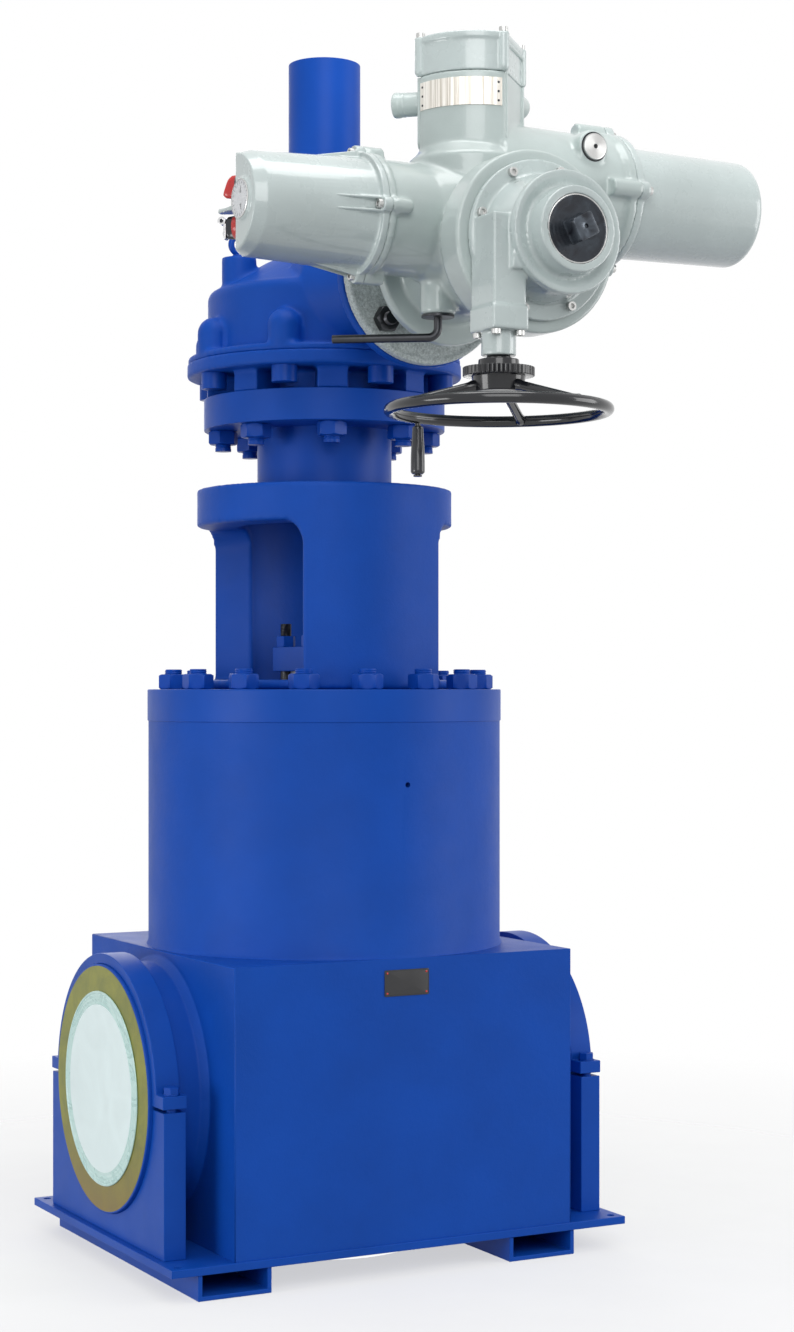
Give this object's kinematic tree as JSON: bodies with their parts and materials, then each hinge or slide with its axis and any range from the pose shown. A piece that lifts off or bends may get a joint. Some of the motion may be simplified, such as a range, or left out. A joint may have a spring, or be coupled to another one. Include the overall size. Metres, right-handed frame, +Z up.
{
  "type": "motorized gate valve",
  "caption": "Motor-driven pressure-seal gate valve with yoke, bevel gearbox, handwheel and weld ends, standing on a skid with pipe cradles.",
  "frame": {"origin": "on the floor under the skid, on the stem axis", "axes": "+Z up along the stem, X along the flow bore with the inlet at -X, -Y towards the actuator"},
  "size_m": [1.105, 1.4854, 2.482],
  "materials": {
    "blue_paint": "gloss enamel",
    "blue_casting": "gloss enamel over rough casting",
    "blue_bolting": "enamel over bolting",
    "grey_housing": "satin powder coat",
    "grey_cover": "satin powder coat",
    "black_enamel": "gloss black",
    "black_steel": "black oxide",
    "white_plastic": "moulded",
    "red_plastic": "moulded",
    "black_plastic": "moulded",
    "bare_plate": "printed plate left bare",
    "stainless": "brushed",
    "screw_steel": "machined",
    "stem_steel": "ground",
    "gear_steel": "cut teeth",
    "bearing_steel": "polished",
    "forged_steel": "machined forging",
    "bronze": "turned",
    "graphite": "braided packing",
    "display_glass": "clear"
  },
  "bodies": {
    "valve": {"skid_plate": "blue_paint", "skid_runner_left": "blue_paint", "skid_runner_right": "blue_paint", "cradle_saddle_inlet": "blue_paint", "cradle_saddle_outlet": "blue_paint", "cradle_cap_inlet": "blue_paint", "cradle_cap_outlet": "blue_paint", "cradle_bolts": "blue_bolting", "valve_body": "blue_casting", "body_nameplate": "bare_plate", "seat_ring_inlet": "forged_steel", "seat_ring_outlet": "forged_steel", "bonnet": "forged_steel", "seal_ring": "graphite", "thrust_ring": "forged_steel", "bonnet_ring": "blue_paint", "bonnet_studs": "blue_bolting", "bonnet_nuts": "blue_bolting", "gland_packing": "graphite", "gland_follower": "forged_steel", "gland_flange": "blue_paint", "gland_studs": "screw_steel", "gland_nuts": "screw_steel", "yoke": "blue_casting", "yoke_column": "blue_paint", "column_studs": "blue_bolting", "column_nuts": "blue_bolting", "gearbox_base": "blue_casting", "gearbox_housing": "blue_casting", "gearbox_bolts": "blue_bolting", "stem_cover_tube": "blue_paint", "lifting_eye": "blue_bolting", "nut_bearings": "bearing_steel", "shaft_bearings": "bearing_steel", "adapter_flange": "grey_housing", "adapter_bolts": "black_steel", "actuator_housing": "grey_housing", "control_cover": "grey_cover", "display_glass": "display_glass", "motor_housing": "grey_cover", "actuator_plugs": "screw_steel", "terminal_cover": "grey_cover", "rating_band": "stainless", "actuator_screws": "screw_steel", "hand_gear_cover": "grey_cover", "hub_plug": "black_plastic", "declutch_plate": "black_steel"},
    "rising_stem": {"stem": "stem_steel", "gate_wedge": "forged_steel"},
    "stem_drive": {"stem_nut": "bronze", "bevel_gear": "gear_steel"},
    "input_drive": {"pinion_shaft": "gear_steel", "drive_sleeve": "stem_steel"},
    "handwheel_body": {"handwheel": "black_enamel"},
    "grip_body": {"handwheel_grip": "black_plastic"},
    "lever_body": {"declutch_lever": "black_steel"},
    "mode_knob": {"mode_selector": "red_plastic"},
    "control_knob": {"control_selector": "black_plastic"},
    "inlet_cap": {"end_cap_inlet": "white_plastic"},
    "outlet_cap": {"end_cap_outlet": "white_plastic"}
  },
  "joints": [
    {"name": "stem_nut_turn", "type": "hinge", "parent": "valve", "child": "stem_drive", "pos_m": [0, 0, 1.972], "axis": [0, 0, 1], "range_deg": [0, 9257]},
    {"name": "stem_rise", "type": "slide", "parent": "valve", "child": "rising_stem", "axis": [0, 0, 1], "range_m": [0, 0.36]},
    {"name": "input_shaft_turn", "type": "hinge", "parent": "valve", "child": "input_drive", "pos_m": [0, -0.32, 1.972], "axis": [0, -1, 0], "range_deg": [0, 27772]},
    {"name": "handwheel_turn", "type": "hinge", "parent": "valve", "child": "handwheel_body", "pos_m": [-0.105, -0.902, 1.657], "axis": [0, 0, 1], "continuous": true},
    {"name": "grip_spin", "type": "hinge", "parent": "handwheel_body", "child": "grip_body", "pos_m": [-0.16816, -0.71857, 1.617], "axis": [0, 0, 1], "continuous": true},
    {"name": "declutch_swing", "type": "hinge", "parent": "valve", "child": "lever_body", "pos_m": [-0.082, -0.64, 1.82], "axis": [0, 0, 1], "range_deg": [0, 40], "stiffness_Nm_per_rad": 1.5},
    {"name": "mode_selector_turn", "type": "hinge", "parent": "valve", "child": "mode_knob", "pos_m": [-0.46464, -0.61064, 2.071], "axis": [-0.7071, 0.7071, 0], "range_deg": [-45, 45]},
    {"name": "control_selector_turn", "type": "hinge", "parent": "valve", "child": "control_knob", "pos_m": [-0.46464, -0.61064, 1.997], "axis": [-0.7071, 0.7071, 0], "range_deg": [-45, 45]},
    {"name": "inlet_cap_pull", "type": "slide", "parent": "valve", "child": "inlet_cap", "axis": [-1, 0, 0], "range_m": [0, 0.1]},
    {"name": "outlet_cap_pull", "type": "slide", "parent": "valve", "child": "outlet_cap", "axis": [1, 0, 0], "range_m": [0, 0.1]}
  ],
  "couplings": [
    {"joint": "stem_rise", "follows": "stem_nut_turn", "m_per_rad": 0.0022282},
    {"joint": "input_shaft_turn", "follows": "stem_nut_turn", "ratio": 3}
  ]
}
